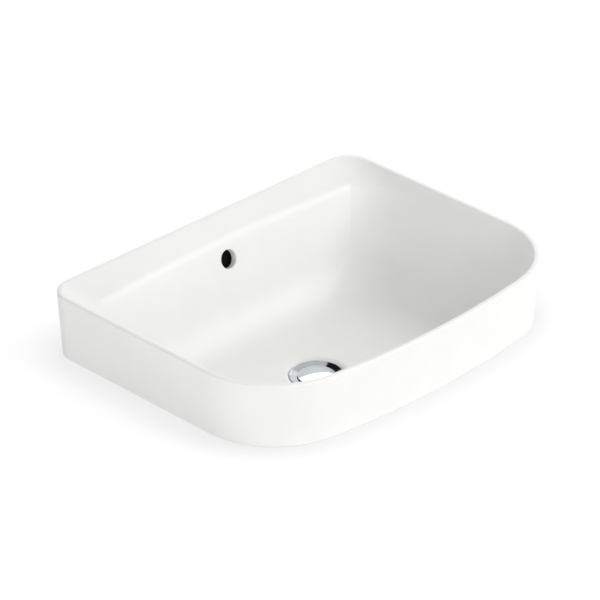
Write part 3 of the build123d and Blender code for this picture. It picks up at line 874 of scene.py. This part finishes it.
# Rubber pieces with softened edges, and the O-ring
GASKET_INSET = 0.8
SEAL_BORE = 21.0
SEAL_COLLAR = 22.3
SEAL_RADIUS = 33.0
SEAL_HEIGHT = 5.0
gasket_inner = WASTE_HOLE_RADIUS + GASKET_INSET
gasket_outer = FLANGE_RADIUS - GASKET_INSET
gasket = shade(
    turned(
        "flange_rubber",
        rounded(
            [
                (gasket_inner, dish_drop(gasket_inner) + FLANGE_THICKNESS),
                (gasket_outer, dish_drop(gasket_outer) + FLANGE_THICKNESS),
                (gasket_outer, dish_drop(gasket_outer) + SEAT_DROP),
                (gasket_inner, dish_drop(gasket_inner) + SEAT_DROP),
            ],
            {1: 0.3, 2: 0.3},
        ),
        96,
    )
)
seal = shade(
    turned(
        "under_boss_rubber",
        rounded(
            [
                (SEAL_BORE, BOSS_DROP - 1.6),
                (SEAL_COLLAR, BOSS_DROP - 0.8),
                (SEAL_COLLAR, BOSS_DROP),
                (SEAL_RADIUS, BOSS_DROP),
                (SEAL_RADIUS, BOSS_DROP + SEAL_HEIGHT),
                (SEAL_BORE, BOSS_DROP + SEAL_HEIGHT),
            ],
            {3: 1.2, 4: 1.2},
        ),
        96,
    )
)
o_ring_profile = [
    (ring_radius + RING_WIRE * cos(radians(a)), ring_drop + RING_WIRE * sin(radians(a)))
    for a in range(0, 360, 20)
]
o_ring = shade(turned("plug_o_ring", o_ring_profile, 96), 60)

# Return spring: a real coil of wire on the housing floor. It ends 0.85 mm below the piston, which
# leaves room for the push that releases the plug
COIL_HEIGHT = 7.95
COIL_RADIUS = 3.5
COIL_TURNS = 5
COIL_TURN_STEPS = 32
WIRE_RADIUS = 0.38
WIRE_SIDES = 10
HOUSING_FLOOR = 2.0
coil_low = LIP_Z - BRIDGE_DROP + HOUSING_FLOOR + WIRE_RADIUS
bm = bmesh.new()
wire = bmesh.ops.create_circle(bm, cap_ends=False, segments=WIRE_SIDES, radius=WIRE_RADIUS)["verts"]
bmesh.ops.rotate(bm, cent=(0, 0, 0), matrix=Matrix.Rotation(pi / 2, 3, "X"), verts=wire)
bmesh.ops.translate(bm, vec=(COIL_RADIUS, DRAIN_Y, coil_low), verts=wire)
coil_steps = COIL_TURNS * COIL_TURN_STEPS
coil_rise = (COIL_HEIGHT - 2 * WIRE_RADIUS) / coil_steps
wind(bm, bm.verts[:] + bm.edges[:], coil_rise, coil_steps, COIL_TURN_STEPS, WIRE_SIDES)
bmesh.ops.recalc_face_normals(bm, faces=bm.faces)
coil = shade(make_object("spring_coil", bm), 60)


def finish_material(name):
    """A new node material, with its tree and shader."""
    made = bpy.data.materials.new(name)
    made.use_nodes = True
    return made, made.node_tree, made.node_tree.nodes["Principled BSDF"]


def noise(tree, size_mm, detail):
    """Noise over the object, with lumps of about a size."""
    place = add_node(tree, "ShaderNodeTexCoord").outputs["Object"]
    shape = {"Scale": 1 / (size_mm * MM), "Detail": detail}
    return add_node(tree, "ShaderNodeTexNoise", shape, {"Vector": place}).outputs["Fac"]


def mottled(name, low, high, drift_mm, rough, relief, **sockets):
    """A finish whose colour and roughness drift, with fine relief.

    Rough is the middle roughness and its spread, and relief is its grain and height in mm.
    """
    made, tree, shader = finish_material(name)
    drift = noise(tree, drift_mm, 4.0)
    colour = add_node(tree, "ShaderNodeValToRGB", None, {"Fac": drift})
    for stop, position, code in zip(colour.color_ramp.elements, (0.35, 0.65), (low, high)):
        stop.position = position
        stop.color = linear(code)
    tree.links.new(colour.outputs["Color"], shader.inputs["Base Color"])
    middle, spread = rough
    ends = {"To Min": middle - spread, "To Max": middle + spread}
    roughness = add_node(tree, "ShaderNodeMapRange", ends, {"Value": drift})
    tree.links.new(roughness.outputs["Result"], shader.inputs["Roughness"])
    grain_mm, height_mm = relief
    shape = {"Strength": 1.0, "Distance": height_mm * MM}
    bump = add_node(tree, "ShaderNodeBump", shape, {"Height": noise(tree, grain_mm, 2.0)})
    tree.links.new(bump.outputs["Normal"], shader.inputs["Normal"])
    for socket, value in sockets.items():
        shader.inputs[socket.replace("_", " ")].default_value = value
    return made


# Satin-glazed vitreous china: fired white glaze with a silky sheen and a barely seen wave in it
glazed_china = mottled(
    "satin_glazed_vitreous_china", "#F3F3F2", "#F5F5F4",
    drift_mm=55, rough=(0.46, 0.02), relief=(9, 0.008), IOR=1.52,
)
# Ground biscuit: the unglazed bearing face, sanded flat after firing, matt and slightly warm
ground_biscuit = mottled(
    "ground_biscuit_foot", "#E3DFD6", "#EDEAE2",
    drift_mm=6, rough=(0.8, 0.08), relief=(0.8, 0.03), IOR=1.5,
)
# Bare clay inside the overflow's duct: rough, and coloured nearly black as painted shade for the
# dim inside of the duct
duct_clay_painted_shade = mottled(
    "bare_clay_painted_shade_in_duct", "#1B1A19", "#262422",
    drift_mm=8, rough=(0.85, 0.06), relief=(1.2, 0.05), IOR=1.5,
)
# Chrome plate on brass: mirror bright with the faintest haze from polishing
chrome_waste = mottled(
    "chrome_plate_waste", "#D3D6D8", "#DBDDDF",
    drift_mm=20, rough=(0.07, 0.02), relief=(3, 0.001), Metallic=1.0,
)
chrome_plug = mottled(
    "chrome_plate_plug", "#C9CCCF", "#D1D4D6",
    drift_mm=20, rough=(0.06, 0.02), relief=(3, 0.001), Metallic=1.0,
)
# Moulded nitrile rubber: black, matt, with bloom
rubber = mottled(
    "moulded_nitrile_rubber", "#17171A", "#212124",
    drift_mm=5, rough=(0.62, 0.06), relief=(0.7, 0.02), IOR=1.5,
)
# Moulded polyethylene: milky white and waxy
polyethylene = mottled(
    "moulded_polyethylene", "#DCDBD4", "#E6E5DF",
    drift_mm=8, rough=(0.42, 0.05), relief=(2, 0.008), IOR=1.51,
)
# Cast brass nut: bright where machined, with slight tarnish
cast_brass = mottled(
    "cast_brass_nut", "#B08F4E", "#C4A560",
    drift_mm=7, rough=(0.34, 0.08), relief=(0.9, 0.012), Metallic=1.0,
)
# Turned brass: fine tool marks and a warm sheen
turned_brass = mottled(
    "turned_brass_bar", "#BC9A55", "#CCAD68",
    drift_mm=4, rough=(0.26, 0.05), relief=(0.5, 0.004), Metallic=1.0,
)
# Drawn stainless wire and pin
stainless = mottled(
    "drawn_stainless_wire", "#A9ACAF", "#BBBDC0",
    drift_mm=3, rough=(0.28, 0.05), relief=(0.4, 0.002), Metallic=1.0,
)
# Moulded acetal: off-white, slick
acetal = mottled(
    "moulded_acetal", "#D3D2CC", "#DDDCD6",
    drift_mm=6, rough=(0.38, 0.04), relief=(1, 0.004), IOR=1.48,
)


def dress(piece, material):
    """Gives a piece or CAD node one material."""
    piece.data.materials.clear()
    piece.data.materials.append(material)


# The third slot, the duct's inside, takes the clay whose near-black colour is painted shade
for slot, material in enumerate((glazed_china, ground_biscuit, duct_clay_painted_shade)):
    basin.data.materials[slot] = material
for face in basin.data.polygons:
    if abs(face.center.z) < 1e-5 and face.normal.z < -0.9:
        face.material_index = 1
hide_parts("basin_body")
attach(basin, "basin")
for piece in (waste, thread, spokes, bridge_boss):
    dress(piece, chrome_waste)
    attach(piece, "basin")
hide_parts("waste_body")
replacements = (
    (plug, chrome_plug, "chrome_plug", "plug", "plug_cap"),
    (gasket, rubber, "black_rubber", "basin", "flange_gasket"),
    (seal, rubber, "black_rubber", "basin", "waste_seal"),
    (o_ring, rubber, "black_rubber", "plug", "plug_seal"),
    (coil, stainless, "spring_steel", "basin", "return_spring"),
)
for piece, material, slot, body, cad_node in replacements:
    dress(piece, material)
    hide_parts(cad_node)
    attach(piece, body)
carried = {
    "slip_washer": polyethylene,
    "back_nut": cast_brass,
    "plug_stem": turned_brass,
    "guide_pin": stainless,
    "stem_lock_nut": turned_brass,
    "cartridge_housing": turned_brass,
    "cartridge_top_ring": turned_brass,
    "indexing_sleeve": acetal,
}
for cad_node, material in carried.items():
    dress(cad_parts[cad_node], material)


def larger(tree, first, second):
    """The larger of two values."""
    ends = {0: first, 1: second}
    return add_node(tree, "ShaderNodeMath", {"operation": "MAXIMUM"}, ends).outputs[0]


def seeing_rays(tree):
    """1 for the camera's own rays and for those that reflect or pass through, else 0."""
    rays = add_node(tree, "ShaderNodeLightPath").outputs
    mirrored = larger(tree, rays["Is Glossy Ray"], rays["Is Transmission Ray"])
    return larger(tree, rays["Is Camera Ray"], mirrored)


# Countertop as the pale floor, with the cut-out that the bowl drops through
CUT_INSET = 22.0
COUNTER_REACH = 3000.0
COUNTER_GAP = 0.1
bm = bmesh.new()
inner = rim_half(CUT_INSET)
inner += [(-x, y) for x, y in reversed(inner[1:-1])]
verts = [bm.verts.new((x, y, -COUNTER_GAP)) for x, y in inner]
edges = [bm.edges.new((verts[i - 1], verts[i])) for i in range(len(verts))]
grown = bmesh.ops.extrude_edge_only(bm, edges=edges)["geom"]
for vert in (v for v in grown if isinstance(v, bmesh.types.BMVert)):
    away = Vector((vert.co.x, vert.co.y - DRAIN_Y, 0)).normalized()
    vert.co = Vector((0, DRAIN_Y, -COUNTER_GAP)) + away * COUNTER_REACH
bmesh.ops.recalc_face_normals(bm, faces=bm.faces)
if sum(f.normal.z for f in bm.faces) < 0:
    bmesh.ops.reverse_faces(bm, faces=bm.faces)
counter = make_object("counter_floor", bm)
floor_finish, tree, shader = finish_material("pale_floor")
shader.inputs["Roughness"].default_value = 0.9
shader.inputs["Specular IOR Level"].default_value = 0.0
# The camera and the reflections see a lit white sheet with a quarter of the shadow that falls
# on it, and a halo of painted shade close to the basin. Other rays see a plain pale one. The
# halo starts where half of what is above the sheet is hidden, and its reach is in metres
FLOOR_GLOW = 0.83
FLOOR_SHARE = 0.25
HALO_REACH = 0.055
HALO_START = 0.5
HALO_SHADE = 0.83
painted_shade_halo = add_node(tree, "ShaderNodeAmbientOcclusion", {"samples": 4, "Distance": HALO_REACH})
seen = seeing_rays(tree)


def floor_level(shaded, unseen):
    """A level for seeing rays, with painted shade near the basin, and the level for all other rays.
    """
    near = {"From Min": HALO_START, "To Min": shaded * HALO_SHADE, "To Max": shaded}
    close = add_node(tree, "ShaderNodeMapRange", near, {"Value": painted_shade_halo.outputs["AO"]})
    ends = {"Value": seen, "To Max": close.outputs["Result"]}
    return add_node(tree, "ShaderNodeMapRange", {"To Min": unseen}, ends).outputs["Result"]


level = floor_level(FLOOR_SHARE, 1.0)
sheet = add_node(tree, "ShaderNodeVectorMath", {"operation": "SCALE"}, {"Scale": level})
sheet.inputs[0].default_value = linear("#FAFAFA")[:3]
tree.links.new(sheet.outputs["Vector"], shader.inputs["Base Color"])
shader.inputs["Emission Color"].default_value = (1, 1, 1, 1)
tree.links.new(floor_level(FLOOR_GLOW, 0.0), shader.inputs["Emission Strength"])
# It is clear from below, and to the short rays of the foot that stands on it
CONTACT_RAY = 2.0
below = add_node(tree, "ShaderNodeNewGeometry").outputs["Backfacing"]
ray_length = add_node(tree, "ShaderNodeLightPath").outputs["Ray Length"]
shorter = {"operation": "LESS_THAN", 1: CONTACT_RAY * MM}
contact = add_node(tree, "ShaderNodeMath", shorter, {0: ray_length}).outputs[0]
clear = add_node(tree, "ShaderNodeBsdfTransparent").outputs["BSDF"]
mixed = {0: larger(tree, below, contact), 1: shader.outputs["BSDF"], 2: clear}
one_sided = add_node(tree, "ShaderNodeMixShader", None, mixed)
tree.links.new(one_sided.outputs["Shader"], tree.nodes["Material Output"].inputs["Surface"])
dress(counter, floor_finish)
counter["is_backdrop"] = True

# World: soft fill on the object, white behind it, and a black and a grey card in reflections
FILL = 0.46
world = bpy.data.worlds.new("studio")
bpy.context.scene.world = world
world.use_nodes = True
tree = world.node_tree
background = tree.nodes["Background"]
background.inputs["Color"].default_value = (1, 1, 1, 1)
toward = add_node(tree, "ShaderNodeTexCoord").outputs["Generated"]


def card(direction, half_angle, edge, level):
    """How bright the world is round a direction: level on a round card, 1 outside it."""
    facing = add_node(tree, "ShaderNodeVectorMath", {"operation": "DOT_PRODUCT"}, {0: toward})
    facing.inputs[1].default_value = Vector(direction).normalized()
    shape = {
        "From Min": cos(radians(half_angle + edge)),
        "From Max": cos(radians(half_angle - edge)),
        "To Min": 1.0,
        "To Max": level,
    }
    shown = add_node(tree, "ShaderNodeMapRange", shape, {"Value": facing.outputs["Value"]})
    return shown.outputs["Result"]


both = {
    0: card((0.24, 0.62, 0.745), half_angle=12.0, edge=0.6, level=0.01),
    1: card((0.47, 0.26, 0.845), half_angle=22.0, edge=3.0, level=0.64),
}
cards = add_node(tree, "ShaderNodeMath", {"operation": "MULTIPLY"}, both).outputs[0]
rays = add_node(tree, "ShaderNodeLightPath").outputs
ends = {"Value": rays["Is Glossy Ray"], "To Max": cards}
mirrored = add_node(tree, "ShaderNodeMapRange", {"To Min": FILL}, ends).outputs["Result"]
straight = larger(tree, rays["Is Camera Ray"], rays["Is Transmission Ray"])
tree.links.new(larger(tree, mirrored, straight), background.inputs["Strength"])


def point_back(holder, away):
    """Turns a lamp or camera to look against a direction."""
    holder.rotation_mode = "QUATERNION"
    holder.rotation_quaternion = away.to_track_quat("Z", "Y")


def soft_box(name, azimuth, elevation, distance, size, power):
    """A square lamp aimed at the bowl, in metres. Azimuth 0 is in front and 90 on the right."""
    lamp = bpy.data.lights.new(name, "AREA")
    lamp.shape = "SQUARE"
    lamp.size = size
    lamp.energy = power
    a, e = radians(azimuth), radians(elevation)
    away = Vector((sin(a) * cos(e), -cos(a) * cos(e), sin(e)))
    holder = add_object(name, lamp)
    holder.location = Vector((0, DRAIN_Y * MM, 0)) + away * distance
    point_back(holder, away)


soft_box("key", azimuth=45, elevation=41, distance=4.5, size=2.6, power=92)
soft_box("low_left", azimuth=-75, elevation=8, distance=2.4, size=1.4, power=12)
soft_box("low_front", azimuth=-28, elevation=8, distance=4.5, size=2.6, power=50)
soft_box("rim_light", azimuth=134, elevation=30, distance=4.5, size=2.6, power=34)

# Camera at the photograph's view, aimed so that the basin sits where it does there
AZIMUTH = radians(-45.07)
ELEVATION = radians(29.20)
DISTANCE = 4752.0
BASIN_MIDDLE = Vector((0, -190.2, 42.7))
AIM_LEFT = 20.7
AIM_UP = 3.3
right = Vector((cos(AZIMUTH), sin(AZIMUTH), 0))
back = Vector((sin(AZIMUTH) * cos(ELEVATION), -cos(AZIMUTH) * cos(ELEVATION), sin(ELEVATION)))
up = back.cross(right)
aim = BASIN_MIDDLE - right * AIM_LEFT + up * AIM_UP
camera_data = bpy.data.cameras.new("camera")
camera_data.sensor_width = 36.0
camera_data.lens = 236.2
camera_data.clip_end = 100
camera = add_object("camera", camera_data)
camera.location = (aim + back * DISTANCE) * MM
point_back(camera, back)
bpy.context.scene.camera = camera
bpy.context.scene.view_settings.view_transform = "Standard"

low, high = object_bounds()
